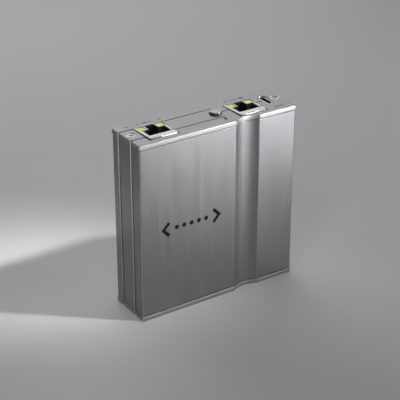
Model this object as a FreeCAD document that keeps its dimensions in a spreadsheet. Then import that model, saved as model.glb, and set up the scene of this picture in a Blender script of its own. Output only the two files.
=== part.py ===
import FreeCAD, Part
import math
import os

import Sketcher

# A pocket-size two-port network box: an extruded aluminium sleeve closed by two end plates.
# It stands on its blank end plate, with the sockets on top.
# +Z is up, +X runs along the wide side, and the channel is on the front, which faces -Y.
# The origin is the middle of the footprint, on the surface that the box stands on.

DIMENSIONS = {
    # overall size of the two end plates
    "width": 90.0,
    "depth": 25.5,
    "height": 94.0,
    "plate_thick": 2.5,
    "plate_corner": 1.0,
    "plate_round": 0.5,
    # sleeve between the plates
    "overhang": 0.35,
    "wall": 1.8,
    "case_corner": 0.8,
    "case_bevel": 0.3,
    # the line on which the sockets, button and screws sit, measured from the middle
    "port_line": 0.6,
    # flowing channel down the front
    "channel_left": 8.4,
    "channel_low": 15.8,
    "channel_right": 23.0,
    "channel_deep": 1.8,
    "channel_lip": 3.5,
    "channel_backing": 1.2,
    # slots down the narrow sides, and the fine lines on the port plate that carry on from them
    "line_gap": 11.2,
    "slot_mouth": 2.1,
    "slot_width": 1.5,
    "slot_deep": 0.9,
    "line_width": 0.9,
    "line_deep": 0.6,
    "rear_line_end": 7.4,
    "front_line_end": 7.7,
    # countersunk screws into ports that run the whole length of the sleeve
    "screw_inset": 3.85,
    "screw_major": 2.5,
    "screw_head": 4.6,
    "screw_length": 8.0,
    "screw_fit": 0.02,
    "screw_clear": 0.15,
    "screw_sink": 0.12,
    "cross_span": 2.6,
    "cross_width": 0.6,
    "cross_deep": 0.9,
    "boss": 5.8,
    # circuit board in its rails
    "board_thick": 1.6,
    "board_ahead": 5.4,
    "board_end_gap": 0.5,
    "board_edge_gap": 0.25,
    "rail": 0.9,
    "rail_reach": 1.5,
    "rail_gap": 0.1,
    # network sockets
    "left_jack": -28.9,
    "right_jack": 22.0,
    "jack_width": 16.0,
    "jack_tall": 15.3,
    "jack_long": 21.0,
    "jack_proud": 0.5,
    "jack_gap": 0.3,
    "jack_skin": 0.3,
    "jack_fit": 0.03,
    "window_fit": 0.15,
    "window_deep": 1.0,
    "mouth_width": 11.9,
    "mouth_tall": 6.2,
    "mouth_sill": 3.8,
    "mouth_deep": 12.5,
    "latch_width": 5.0,
    "latch_tall": 4.3,
    "latch_deep": 8.0,
    "lamp_width": 3.3,
    "lamp_tall": 3.8,
    "lamp_long": 7.0,
    "lamp_off": 5.1,
    "lamp_step": 0.5,
    "lamp_sink": 0.15,
    "pin_pitch": 1.02,
    "pin_width": 0.45,
    "pin_thick": 0.3,
    "pin_long": 9.0,
    "pin_root": 1.0,
    "pin_stand": 1.2,
    "pin_lean": 8.0,
    # power socket
    "usb_x": 36.3,
    "usb_off": 0.5,
    "usb_width": 8.94,
    "usb_tall": 3.26,
    "usb_long": 8.0,
    "usb_skin": 0.3,
    "usb_sink": 0.4,
    "usb_gap": 0.25,
    "usb_bevel": 0.5,
    "usb_fit": 0.03,
    "tongue_width": 6.7,
    "tongue_thick": 0.7,
    "tongue_sink": 0.8,
    "core_long": 2.5,
    "finger_pitch": 0.5,
    "finger_width": 0.25,
    "finger_thick": 0.08,
    "finger_long": 3.4,
    # push button and the switch behind it
    "button_x": 6.0,
    "button": 5.8,
    "button_gap": 0.3,
    "button_proud": 1.2,
    "button_round": 0.3,
    "flange_lip": 1.0,
    "flange_thick": 0.8,
    "flange_gap": 0.1,
    "travel": 0.8,
    "plunger": 3.0,
    "plunger_gap": 0.1,
    "plunger_out": 2.1,
    "plunger_in": 1.9,
    "switch_width": 6.2,
    "switch_long": 5.0,
    # parts on the board
    "transformer_width": 12.7,
    "transformer_long": 15.2,
    "transformer_tall": 5.8,
    "transformer_drop": 3.0,
    "phy": 8.0,
    "phy_tall": 0.9,
    "phy_drop": 6.0,
    "processor": 14.0,
    "processor_tall": 1.2,
    "processor_z": 40.0,
    "pad_margin": 1.0,
    "film_thick": 0.2,
    "film_margin": 3.0,
    "film_edge": 5.0,
    "memory_x": -12.0,
    "memory_gap": 3.0,
    "memory_width": 9.0,
    "memory_long": 13.0,
    "memory_tall": 1.0,
    "flash_x": 10.0,
    "flash": 5.3,
    "flash_tall": 1.8,
    "coil": 7.3,
    "coil_tall": 4.2,
    "coil_x": 20.0,
    "coil_gap": 4.0,
    "coil_z": 14.0,
    "regulator": 5.0,
    "regulator_tall": 1.0,
    "regulator_x": 36.0,
    "can": 6.3,
    "can_tall": 7.7,
    "can_pitch": 8.5,
    "can_x": -24.0,
    "can_z": 12.0,
    "crystal_x": -1.0,
    "crystal_width": 5.0,
    "crystal_long": 3.2,
    "crystal_tall": 1.2,
}

BEVEL_ANGLE = 45
PIN_COUNT = 8
FINGER_COUNT = 12
CAN_COUNT = 3

doc = FreeCAD.newDocument("network_box")
sheet = doc.addObject("Spreadsheet::Sheet", "dim")
for row, (alias, number) in enumerate(DIMENSIONS.items(), start=1):
    sheet.set(f"A{row}", alias)
    sheet.set(f"B{row}", str(number))
    sheet.setAlias(f"B{row}", alias)
doc.recompute()

# Places that several pieces share, written with the sheet's names.
TOP = "dim.height"
PLATE_UNDER = "(dim.height - dim.plate_thick)"
CASE_SIDE = "(dim.width / 2 - dim.overhang)"
CASE_FACE = "(dim.depth / 2 - dim.overhang)"
ROOM_SIDE = "(dim.width / 2 - dim.overhang - dim.wall)"
ROOM_FACE = "(dim.depth / 2 - dim.overhang - dim.wall)"
SCREW_X = "(dim.width / 2 - dim.screw_inset)"
BOARD_FRONT = "(dim.port_line + dim.board_ahead)"
BOARD_BACK = "(dim.port_line + dim.board_ahead + dim.board_thick)"
JACK_FACE = "(dim.height + dim.jack_proud)"
JACK_BASE = "(dim.height + dim.jack_proud - dim.jack_long)"
USB_Y = "(dim.port_line + dim.usb_off)"
USB_FACE = "(dim.height - dim.usb_sink)"
USB_BASE = "(dim.height - dim.usb_sink - dim.usb_long)"
FLANGE_TOP = "(dim.height - dim.plate_thick - dim.flange_gap)"
FLANGE_UNDER = "(dim.height - dim.plate_thick - dim.flange_gap - dim.flange_thick)"
SWITCH_TOP = f"({FLANGE_UNDER} - dim.plunger_out)"
SLOT_REAR = "(dim.port_line + dim.line_gap / 2)"
SLOT_FRONT = "(dim.port_line - dim.line_gap / 2)"

nodes = []


def measure(text):
    """The number that an expression gives now."""
    result = sheet.evalExpression(text)
    return float(getattr(result, "Value", result))


def keep(piece, label):
    """Marks a finished piece of the box and names it."""
    piece.Label = label
    nodes.append(piece)


# ---- plain solids -------------------------------------------------------------------------

def block(name, x, y, z):
    """A box given by its low and high face along each axis."""
    solid = doc.addObject("Part::Box", name)
    for side, axis, (low, high) in (("Length", "x", x), ("Width", "y", y), ("Height", "z", z)):
        solid.setExpression(side, f"({high}) - ({low})")
        solid.setExpression(f"Placement.Base.{axis}", low)
    return solid


def around(middle, size):
    """The low and high face of something of that size about a middle."""
    return f"{middle} - ({size}) / 2", f"{middle} + ({size}) / 2"


def rod(name, radius, x, y, z):
    """An upright cylinder given by its axis and its low and high end."""
    low, high = z
    solid = doc.addObject("Part::Cylinder", name)
    solid.setExpression("Radius", radius)
    solid.setExpression("Height", f"({high}) - ({low})")
    for axis, text in (("x", x), ("y", y), ("z", low)):
        solid.setExpression(f"Placement.Base.{axis}", text)
    return solid


def fuse(name, pieces):
    solid = doc.addObject("Part::MultiFuse", name)
    solid.Shapes = pieces
    return solid


def cut(name, base, tools):
    solid = doc.addObject("Part::Cut", name)
    solid.Base = base
    solid.Tool = tools[0] if len(tools) == 1 else fuse(f"{name}_tools", tools)
    return solid


def group(name, pieces):
    """Separate solids of one kind that share a node."""
    solid = doc.addObject("Part::Compound", name)
    solid.Links = pieces
    return solid


# ---- sketches and the features made from them ----------------------------------------------

def new_sketch(body, name, role="XY_Plane", height=None):
    """A sketch on one of the body's own origin planes, moved along its normal to a height."""
    sketch = body.newObject("Sketcher::SketchObject", name)
    plane = next(item for item in body.Origin.OriginFeatures if item.Role == role)
    sketch.AttachmentSupport = [(plane, "")]
    sketch.MapMode = "FlatFace"
    if height is not None:
        sketch.setExpression("AttachmentOffset.Base.z", height)
    return sketch


def constrain(sketch, text, kind, *where):
    """Adds a dimension and ties it to the sheet."""
    index = sketch.addConstraint(Sketcher.Constraint(kind, *where, measure(text)))
    sketch.setExpression(f"Constraints[{index}]", text)


def pin(sketch, piece, end, x, y):
    """Holds one point of a sketch at x, y, and on the sketch's own axis where that is 0."""
    for kind, axis, text in (("DistanceX", -2, x), ("DistanceY", -1, y)):
        if text == "0":
            sketch.addConstraint(Sketcher.Constraint("PointOnObject", piece, end, axis))
        else:
            constrain(sketch, text, kind, -1, 1, piece, end)


def outline(sketch, corners):
    """A closed outline of straight lines through the corners."""
    points = [FreeCAD.Vector(measure(x), measure(y), 0) for x, y in corners]
    lines = []
    for start, end in zip(points, points[1:] + points[:1]):
        lines.append(sketch.addGeometry(Part.LineSegment(start, end)))
    for line, following in zip(lines, lines[1:] + lines[:1]):
        sketch.addConstraint(Sketcher.Constraint("Coincident", line, 2, following, 1))
    for line, (x, y) in zip(lines, corners):
        pin(sketch, line, 1, x, y)


def rectangle(sketch, x, y):
    outline(sketch, [(x[0], y[0]), (x[1], y[0]), (x[1], y[1]), (x[0], y[1])])


def circle(sketch, x, y, radius):
    centre = FreeCAD.Vector(measure(x), measure(y), 0)
    ring = sketch.addGeometry(Part.Circle(centre, FreeCAD.Vector(0, 0, 1), measure(radius)))
    pin(sketch, ring, 3, x, y)
    constrain(sketch, radius, "Radius", ring)


def arc(sketch, x, y, radius, start, end):
    """An arc about x, y from one angle to another, anticlockwise, in radians."""
    ring = Part.Circle(FreeCAD.Vector(x, y, 0), FreeCAD.Vector(0, 0, 1), radius)
    return sketch.addGeometry(Part.ArcOfCircle(ring, start, end))


def racetrack(sketch, x, y, length, width):
    """A slot with round ends whose length runs along Y."""
    reach = f"(({length}) - ({width})) / 2"
    far = arc(sketch, measure(x), measure(f"{y} + {reach}"), measure(width) / 2, 0, math.pi)
    near = arc(sketch, measure(x), measure(f"{y} - {reach}"), measure(width) / 2, math.pi, 2 * math.pi)
    sides = []
    for side in (-1, 1):
        edge = measure(x) + side * measure(width) / 2
        low = FreeCAD.Vector(edge, measure(f"{y} - {reach}"), 0)
        high = FreeCAD.Vector(edge, measure(f"{y} + {reach}"), 0)
        sides.append(sketch.addGeometry(Part.LineSegment(low, high)))
    left, right = sides
    for line, line_end, ring, ring_end in (
        (right, 2, far, 1),
        (left, 2, far, 2),
        (left, 1, near, 1),
        (right, 1, near, 2),
    ):
        sketch.addConstraint(Sketcher.Constraint("Tangent", line, line_end, ring, ring_end))
    pin(sketch, far, 3, x, f"{y} + {reach}")
    pin(sketch, near, 3, x, f"{y} - {reach}")
    for ring in (far, near):
        constrain(sketch, f"({width}) / 2", "Radius", ring)


def finish(body, feature):
    """Makes a feature the body's last one and stops if it can't be built."""
    body.Tip = feature
    doc.recompute()
    if "Invalid" in feature.State or feature.Shape.isNull():
        raise RuntimeError(f"{feature.Name} can't be built: {feature.getStatusString()}")


def pad(body, name, sketch, length):
    feature = body.newObject("PartDesign::Pad", name)
    feature.Profile = sketch
    feature.setExpression("Length", length)
    finish(body, feature)


def pocket(body, name, sketch, length, upward, taper=0):
    """Cuts a sketch's shape over a length and makes sure that something was cut."""
    before = body.Shape.Volume
    feature = body.newObject("PartDesign::Pocket", name)
    feature.Profile = sketch
    feature.Reversed = upward
    feature.TaperAngle = taper
    feature.setExpression("Length", length)
    finish(body, feature)
    if body.Shape.Volume >= before:
        raise RuntimeError(f"{name} cuts nothing")


def dress(body, kind, name, edges, size):
    """Rounds or bevels the named edges of the body's last feature."""
    base = body.Tip
    feature = body.newObject(f"PartDesign::{kind}", name)
    feature.Base = (base, edges)
    feature.setExpression("Radius" if kind == "Fillet" else "Size", size)
    finish(body, feature)


def edges_like(body, test):
    """Names of the edges of the body that pass a test."""
    return [f"Edge{i}" for i, edge in enumerate(body.Shape.Edges, start=1) if test(edge)]


def rim_edges(body, height):
    """Names of the edges round the outside of the body's level face at that height."""
    faces = [face for face in body.Shape.Faces if abs(face.BoundBox.ZMin - height) < 1e-6
             and abs(face.BoundBox.ZMax - height) < 1e-6]
    rim = max(faces, key=lambda face: face.Area).OuterWire.Edges
    return edges_like(body, lambda edge: any(edge.isSame(other) for other in rim))


def upright_corners(body):
    """Names of the four upright edges at the body's outer corners."""
    box = body.Shape.BoundBox

    def at_corner(edge):
        here = edge.BoundBox
        on_side = min(abs(here.XMin - box.XMin), abs(here.XMax - box.XMax)) < 1e-6
        on_face = min(abs(here.YMin - box.YMin), abs(here.YMax - box.YMax)) < 1e-6
        return on_side and on_face and here.XLength < 1e-6 and here.YLength < 1e-6

    return edges_like(body, at_corner)


# ---- shapes that the sleeve and the plates share --------------------------------------------

def slab(label, half_width, half_depth, bottom, length, corner):
    """A rounded slab, the blank from which the sleeve and both plates are cut."""
    body = doc.addObject("PartDesign::Body", label)
    sketch = new_sketch(body, f"{label}_outline", height=bottom)
    rectangle(sketch, (f"-{half_width}", half_width), (f"-{half_depth}", half_depth))
    pad(body, f"{label}_blank", sketch, length)
    dress(body, "Fillet", f"{label}_corners", upright_corners(body), corner)
    return body


def cut_channel(body, face, bottom, length):
    """The flowing channel: a lip that rolls in, a long hollow, and a sharp far edge.

    Three arcs follow each other without a kink: out of the face, down to the lowest line, and
    from there up to the far edge.
    """
    left = measure("dim.channel_left")
    low = measure("dim.channel_low")
    right = measure("dim.channel_right")
    deep = measure("dim.channel_deep")
    front = -measure(face)
    lip = measure("dim.channel_lip")
    turn = 2 * math.atan(deep / (low - left))
    hollow = (low - left) / math.sin(turn) - lip
    sweep = ((right - low) ** 2 + deep ** 2) / (2 * deep)
    far_turn = math.asin((right - low) / sweep)

    sketch = new_sketch(body, f"{body.Name}_channel_shape", height=bottom)
    roll = arc(sketch, left, front + lip, lip, 1.5 * math.pi, 1.5 * math.pi + turn)
    bowl = arc(sketch, low, front + deep - hollow, hollow, math.pi / 2, math.pi / 2 + turn)
    rise = arc(sketch, low, front + deep - sweep, sweep, math.pi / 2 - far_turn, math.pi / 2)
    ahead = front - deep
    corners = [(right, front), (right, ahead), (left, ahead), (left, front)]
    points = [FreeCAD.Vector(x, y, 0) for x, y in corners]
    down, across, up = [sketch.addGeometry(Part.LineSegment(a, b)) for a, b in zip(points, points[1:])]

    add = sketch.addConstraint
    add(Sketcher.Constraint("Tangent", roll, 2, bowl, 2))
    add(Sketcher.Constraint("Tangent", bowl, 1, rise, 2))
    add(Sketcher.Constraint("Coincident", rise, 1, down, 1))
    add(Sketcher.Constraint("Coincident", down, 2, across, 1))
    add(Sketcher.Constraint("Coincident", across, 2, up, 1))
    add(Sketcher.Constraint("Coincident", up, 2, roll, 1))
    add(Sketcher.Constraint("Vertical", roll, 3, roll, 1))
    add(Sketcher.Constraint("Vertical", bowl, 3, bowl, 1))
    add(Sketcher.Constraint("Vertical", down))
    add(Sketcher.Constraint("Vertical", up))
    add(Sketcher.Constraint("Horizontal", across))
    pin(sketch, roll, 1, "dim.channel_left", f"-{face}")
    pin(sketch, bowl, 1, "dim.channel_low", f"-{face} + dim.channel_deep")
    pin(sketch, rise, 1, "dim.channel_right", f"-{face}")
    constrain(sketch, "dim.channel_lip", "Radius", roll)
    constrain(sketch, "dim.channel_deep", "DistanceY", across, 1, rise, 1)
    pocket(body, f"{body.Name}_channel", sketch, length, upward=True)


def side_slot(sketch, side, y, edge):
    """The section of one slot: a narrow groove whose mouth is bevelled."""
    bevel = "(dim.slot_mouth - dim.slot_width) / 2"
    mouth = f"{side} * ({CASE_SIDE})"
    shoulder = f"{side} * ({CASE_SIDE} - {bevel})"
    floor = f"{side} * ({CASE_SIDE} - dim.slot_deep)"
    outside = f"{side} * ({edge} + dim.slot_deep)"
    half_mouth = "dim.slot_mouth / 2"
    half_slot = "dim.slot_width / 2"
    outline(sketch, [
        (outside, f"{y} - {half_mouth}"),
        (mouth, f"{y} - {half_mouth}"),
        (shoulder, f"{y} - {half_slot}"),
        (floor, f"{y} - {half_slot}"),
        (floor, f"{y} + {half_slot}"),
        (shoulder, f"{y} + {half_slot}"),
        (mouth, f"{y} + {half_mouth}"),
        (outside, f"{y} + {half_mouth}"),
    ])


def cut_side_slots(body, edge, bottom, length):
    """Two slots down the left side and one down the right."""
    sketch = new_sketch(body, f"{body.Name}_slot_shapes", height=bottom)
    side_slot(sketch, "-1", SLOT_REAR, edge)
    side_slot(sketch, "-1", SLOT_FRONT, edge)
    side_slot(sketch, "1", "dim.port_line", edge)
    pocket(body, f"{body.Name}_slots", sketch, length, upward=True)


# ---- sleeve and end plates -------------------------------------------------------------------

def make_sleeve():
    """Extruded sleeve with board rails, screw ports and a thicker wall behind the channel."""
    length = "(dim.height - 2 * dim.plate_thick)"
    body = slab("body_sleeve", CASE_SIDE, CASE_FACE, "dim.plate_thick", length, "dim.case_corner")

    room = new_sketch(body, "sleeve_room_shape", height="dim.plate_thick")
    rectangle(room, (f"-{ROOM_SIDE}", ROOM_SIDE), (f"-{ROOM_FACE}", ROOM_FACE))
    pocket(body, "sleeve_room", room, length, upward=True)

    ribs = new_sketch(body, "sleeve_rib_shapes", height="dim.plate_thick")
    root = "dim.wall / 2"
    inside = f"({SCREW_X} - dim.boss / 2)"
    rail_tip = f"({ROOM_SIDE} - dim.rail_reach)"
    boss = around("dim.port_line", "dim.boss")
    front_rail = (f"{BOARD_FRONT} - dim.rail_gap - dim.rail", f"{BOARD_FRONT} - dim.rail_gap")
    rear_rail = (f"{BOARD_BACK} + dim.rail_gap", f"{BOARD_BACK} + dim.rail_gap + dim.rail")
    for rib, tip in ((boss, inside), (front_rail, rail_tip), (rear_rail, rail_tip)):
        rectangle(ribs, (f"-{ROOM_SIDE} - {root}", f"-{tip}"), rib)
        rectangle(ribs, (tip, f"{ROOM_SIDE} + {root}"), rib)
    rectangle(
        ribs,
        ("dim.channel_left - dim.channel_backing", "dim.channel_right + dim.channel_backing"),
        (f"-{ROOM_FACE} - {root}", f"-{CASE_FACE} + dim.channel_deep + dim.channel_backing"),
    )
    pad(body, "sleeve_ribs", ribs, length)

    cut_channel(body, CASE_FACE, "dim.plate_thick", length)
    ends = rim_edges(body, measure("dim.plate_thick")) + rim_edges(body, measure(PLATE_UNDER))
    dress(body, "Chamfer", "sleeve_end_bevels", ends, "dim.case_bevel")
    cut_side_slots(body, CASE_SIDE, "dim.plate_thick", length)

    ports = new_sketch(body, "sleeve_screw_port_shapes", height="dim.plate_thick")
    for x in (f"-{SCREW_X}", SCREW_X):
        circle(ports, x, "dim.port_line", "dim.screw_major / 2 + dim.screw_fit")
    pocket(body, "sleeve_screw_ports", ports, length, upward=True)
    keep(body, "body_sleeve")


def plate_blank(label, bottom):
    """An end plate before its holes: the sleeve's outline, a little larger, with soft edges."""
    half_width = "(dim.width / 2)"
    half_depth = "(dim.depth / 2)"
    body = slab(label, half_width, half_depth, bottom, "dim.plate_thick", "dim.plate_corner")
    cut_channel(body, half_depth, bottom, "dim.plate_thick")
    low = measure(bottom)
    rims = rim_edges(body, low) + rim_edges(body, low + measure("dim.plate_thick"))
    dress(body, "Fillet", f"{label}_soft_edges", rims, "dim.plate_round")
    cut_side_slots(body, half_width, bottom, "dim.plate_thick")
    return body


def countersink(body, outer_face, inward):
    """Opens the two screw holes into cones at the plate's outer face; inward is -1 or 1 along Z."""
    mouth = "dim.screw_head / 2 + dim.screw_sink"
    throat = "dim.screw_major / 2"
    tall = f"(({mouth}) - {throat})"
    radii = (mouth, throat) if inward > 0 else (throat, mouth)
    bottom = outer_face if inward > 0 else f"{outer_face} - {tall}"
    plane = next(item for item in body.Origin.OriginFeatures if item.Role == "XY_Plane")
    for side, x in (("left", f"-{SCREW_X}"), ("right", SCREW_X)):
        cone = body.newObject("PartDesign::SubtractiveCone", f"{body.Name}_countersink_{side}")
        cone.AttachmentSupport = [(plane, "")]
        cone.MapMode = "FlatFace"
        for axis, text in (("x", x), ("y", "dim.port_line"), ("z", bottom)):
            cone.setExpression(f"AttachmentOffset.Base.{axis}", text)
        cone.setExpression("Radius1", radii[0])
        cone.setExpression("Radius2", radii[1])
        cone.setExpression("Height", tall)
        finish(body, cone)


def screw_holes(sketch):
    for x in (f"-{SCREW_X}", SCREW_X):
        circle(sketch, x, "dim.port_line", "dim.screw_major / 2 + dim.screw_clear")


def make_port_plate():
    """Upper plate with the sockets' openings, the button's hole and three fine lines."""
    body = plate_blank("port_end_plate", PLATE_UNDER)

    openings = new_sketch(body, "port_plate_opening_shapes", height=PLATE_UNDER)
    for x in ("dim.left_jack", "dim.right_jack"):
        low = f"{BOARD_FRONT} - dim.jack_tall - dim.jack_gap"
        high = f"{BOARD_FRONT} + dim.jack_gap"
        rectangle(openings, around(x, "dim.jack_width + 2 * dim.jack_gap"), (low, high))
    gap = "2 * dim.usb_gap"
    racetrack(openings, "dim.usb_x", USB_Y, f"dim.usb_width + {gap}", f"dim.usb_tall + {gap}")
    circle(openings, "dim.button_x", "dim.port_line", "dim.button / 2 + dim.button_gap")
    screw_holes(openings)
    pocket(body, "port_plate_openings", openings, "dim.plate_thick", upward=True)
    countersink(body, TOP, -1)

    bevel = new_sketch(body, "port_plate_usb_bevel_shape", height=TOP)
    spare = "2 * (dim.usb_gap + dim.usb_bevel)"
    racetrack(bevel, "dim.usb_x", USB_Y, f"dim.usb_width + {spare}", f"dim.usb_tall + {spare}")
    pocket(body, "port_plate_usb_bevel", bevel, "dim.usb_bevel", upward=False, taper=-BEVEL_ANGLE)

    lines = new_sketch(body, "port_plate_line_shapes", height=TOP)
    left_end = "-dim.width / 2 - dim.line_width"
    right_end = "dim.width / 2 + dim.line_width"
    rectangle(lines, (left_end, "dim.rear_line_end"), around(SLOT_REAR, "dim.line_width"))
    rectangle(lines, (left_end, "dim.front_line_end"), around(SLOT_FRONT, "dim.line_width"))
    rectangle(lines, ("dim.button_x + dim.button / 2", right_end), around("dim.port_line", "dim.line_width"))
    pocket(body, "port_plate_lines", lines, "dim.line_deep", upward=False)
    keep(body, "port_end_plate")


def make_blank_plate():
    """Lower plate, plain apart from its two screws."""
    body = plate_blank("blank_end_plate", "0 * dim.plate_thick")
    holes = new_sketch(body, "blank_plate_hole_shapes")
    screw_holes(holes)
    pocket(body, "blank_plate_holes", holes, "dim.plate_thick", upward=True)
    countersink(body, "0 * dim.height", 1)
    keep(body, "blank_end_plate")


def screw(name, x, face, inward):
    """One countersunk cross-head screw; inward is the way it points, +1 for up."""
    head_tall = "(dim.screw_head - dim.screw_major) / 2"
    outer = f"{face} + {inward} * dim.screw_sink"
    head = doc.addObject("Part::Cone", f"{name}_head")
    head.setExpression("Radius1", "dim.screw_head / 2")
    head.setExpression("Radius2", "dim.screw_major / 2")
    head.setExpression("Height", head_tall)
    shank = doc.addObject("Part::Cylinder", f"{name}_shank")
    shank.setExpression("Radius", "dim.screw_major / 2")
    shank.setExpression("Height", "dim.screw_length")
    axis = "0 * dim.cross_span"
    slots = []
    span = around(axis, "dim.cross_span")
    width = around(axis, "dim.cross_width")
    for way, across, along in (("x", span, width), ("y", width, span)):
        slots.append(block(f"{name}_slot_{way}", across, along, (axis, "dim.cross_deep")))
    whole = cut(name, fuse(f"{name}_solid", [head, shank]), slots)
    if inward < 0:
        whole.Placement.Rotation = FreeCAD.Rotation(FreeCAD.Vector(1, 0, 0), 180)
    whole.setExpression("Placement.Base.x", x)
    whole.setExpression("Placement.Base.y", "dim.port_line")
    whole.setExpression("Placement.Base.z", outer)
    return whole


def make_screws():
    for label, face, inward in (("port_plate_screws", TOP, -1), ("blank_plate_screws", "0 * dim.height", 1)):
        pair = [screw(f"{label}_{side}", x, face, inward)
                for side, x in (("left", f"-{SCREW_X}"), ("right", SCREW_X))]
        keep(group(label, pair), label)


# ---- network sockets --------------------------------------------------------------------------

def jack_openings(name, x, spare, depth):
    """The plug's way in and its latch step, as solids to cut away, larger by spare all round."""
    sill = f"({BOARD_FRONT} - dim.jack_tall + dim.mouth_sill)"
    lintel = f"({sill} + dim.mouth_tall)"
    over = f"{JACK_FACE} + dim.jack_proud"
    plug = block(
        f"{name}_mouth",
        around(x, f"dim.mouth_width + 2 * {spare}"),
        (f"{sill} - {spare}", f"{lintel} + {spare}"),
        (f"{JACK_FACE} - {depth}", over),
    )
    latch = block(
        f"{name}_latch",
        around(x, f"dim.latch_width + 2 * {spare}"),
        (lintel, f"{lintel} + dim.latch_tall + {spare}"),
        (f"{JACK_FACE} - min({depth}; dim.latch_deep)", over),
    )
    return [plug, latch]


def jack_lamps(name, x, spare, top):
    """The two lamp windows that flank the latch step."""
    low = f"({BOARD_FRONT} - dim.jack_tall + dim.mouth_sill + dim.mouth_tall + dim.lamp_step)"
    lamps = []
    for side, middle in (("left", f"{x} - dim.lamp_off"), ("right", f"{x} + dim.lamp_off")):
        lamps.append(block(
            f"{name}_{side}",
            around(middle, f"dim.lamp_width + 2 * {spare}"),
            (f"{low} - {spare}", f"{low} + dim.lamp_tall + {spare}"),
            (f"{JACK_FACE} - dim.lamp_long - {spare}", top),
        ))
    return lamps


def make_jack(side, x):
    """One network socket: metal shell, moulded insert, eight contacts and two lamps."""
    width = around(x, "dim.jack_width")
    tall = (f"{BOARD_FRONT} - dim.jack_tall", BOARD_FRONT)
    over = f"{JACK_FACE} + dim.jack_proud"

    outer = block(f"{side}_shell_outer", width, tall, (JACK_BASE, JACK_FACE))
    hollow = block(
        f"{side}_shell_hollow",
        around(x, "dim.jack_width - 2 * dim.jack_skin"),
        (f"{tall[0]} + dim.jack_skin", f"{tall[1]} + dim.jack_skin"),
        (f"{JACK_BASE} + dim.jack_skin", f"{JACK_FACE} - dim.jack_skin"),
    )
    windows = jack_openings(f"{side}_shell", x, "dim.window_fit", "dim.window_deep")
    windows += jack_lamps(f"{side}_window", x, "dim.window_fit", over)
    keep(cut(f"{side}_jack_shell", outer, [hollow] + windows), f"{side}_jack_shell")

    inset = "(dim.jack_skin + dim.jack_fit)"
    solid = block(
        f"{side}_insert_solid",
        around(x, f"dim.jack_width - 2 * {inset}"),
        (f"{tall[0]} + {inset}", BOARD_FRONT),
        (f"{JACK_BASE} + {inset}", f"{JACK_FACE} - {inset}"),
    )
    socket = jack_openings(f"{side}_insert", x, "0", "dim.mouth_deep")
    seats = jack_lamps(f"{side}_seat", x, "dim.jack_fit", over)
    keep(cut(f"{side}_jack_insert", solid, socket + seats), f"{side}_jack_insert")

    lamps = jack_lamps(f"{side}_lamp", x, "0", f"{JACK_FACE} - dim.lamp_sink")
    keep(group(f"{side}_jack_lamps", lamps), f"{side}_jack_lamps")

    pins = []
    for number in range(PIN_COUNT):
        wire = doc.addObject("Part::Box", f"{side}_pin_{number}")
        wire.setExpression("Length", "dim.pin_width")
        wire.setExpression("Width", "dim.pin_thick")
        wire.setExpression("Height", "dim.pin_long")
        wire.Placement.Rotation = FreeCAD.Rotation(FreeCAD.Vector(1, 0, 0), measure("dim.pin_lean"))
        step = number - (PIN_COUNT - 1) / 2
        wire.setExpression("Placement.Base.x", f"{x} + {step} * dim.pin_pitch - dim.pin_width / 2")
        wire.setExpression("Placement.Base.y", f"{tall[0]} + dim.mouth_sill + dim.pin_stand")
        wire.setExpression("Placement.Base.z", f"{JACK_FACE} - dim.mouth_deep - dim.pin_root")
        pins.append(wire)
    keep(group(f"{side}_jack_contacts", pins), f"{side}_jack_contacts")


# ---- power socket -----------------------------------------------------------------------------

def make_power_socket():
    """A USB-C socket that stands on edge on the board, so its slot runs from front to rear."""
    tube = doc.addObject("PartDesign::Body", "usb_c_tube")
    sketch = new_sketch(tube, "usb_c_tube_shape", height=USB_BASE)
    racetrack(sketch, "dim.usb_x", USB_Y, "dim.usb_width", "dim.usb_tall")
    skins = "2 * dim.usb_skin"
    racetrack(sketch, "dim.usb_x", USB_Y, f"dim.usb_width - {skins}", f"dim.usb_tall - {skins}")
    pad(tube, "usb_c_tube_wall", sketch, "dim.usb_long")
    foot = block(
        "usb_c_foot",
        around("dim.usb_x", "dim.usb_tall - 2 * dim.usb_skin"),
        (f"{USB_Y} + dim.usb_width / 2 - dim.usb_skin / 2", BOARD_FRONT),
        (USB_BASE, f"{PLATE_UNDER} - dim.board_end_gap"),
    )
    keep(fuse("usb_c_shell", [tube, foot]), "usb_c_shell")

    straight = "dim.usb_width - dim.usb_tall"
    core = block(
        "usb_c_core_block",
        around("dim.usb_x", "dim.usb_tall - 2 * dim.usb_skin - 2 * dim.usb_fit"),
        around(USB_Y, straight),
        (USB_BASE, f"{USB_BASE} + dim.core_long"),
    )
    tongue = block(
        "usb_c_tongue",
        around("dim.usb_x", "dim.tongue_thick"),
        around(USB_Y, "dim.tongue_width"),
        (USB_BASE, f"{USB_FACE} - dim.tongue_sink"),
    )
    keep(fuse("usb_c_insert", [core, tongue]), "usb_c_insert")

    fingers = []
    tip = f"{USB_FACE} - dim.tongue_sink - dim.finger_thick"
    for face in (-1, 1):
        middle = f"dim.usb_x + {face} * (dim.tongue_thick + dim.finger_thick) / 2"
        for number in range(FINGER_COUNT):
            step = number - (FINGER_COUNT - 1) / 2
            fingers.append(block(
                f"usb_c_finger_{'near' if face < 0 else 'far'}_{number}",
                around(middle, "dim.finger_thick"),
                around(f"{USB_Y} + {step} * dim.finger_pitch", "dim.finger_width"),
                (f"{tip} - dim.finger_long", tip),
            ))
    keep(group("usb_c_contacts", fingers), "usb_c_contacts")


# ---- push button --------------------------------------------------------------------------------

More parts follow.
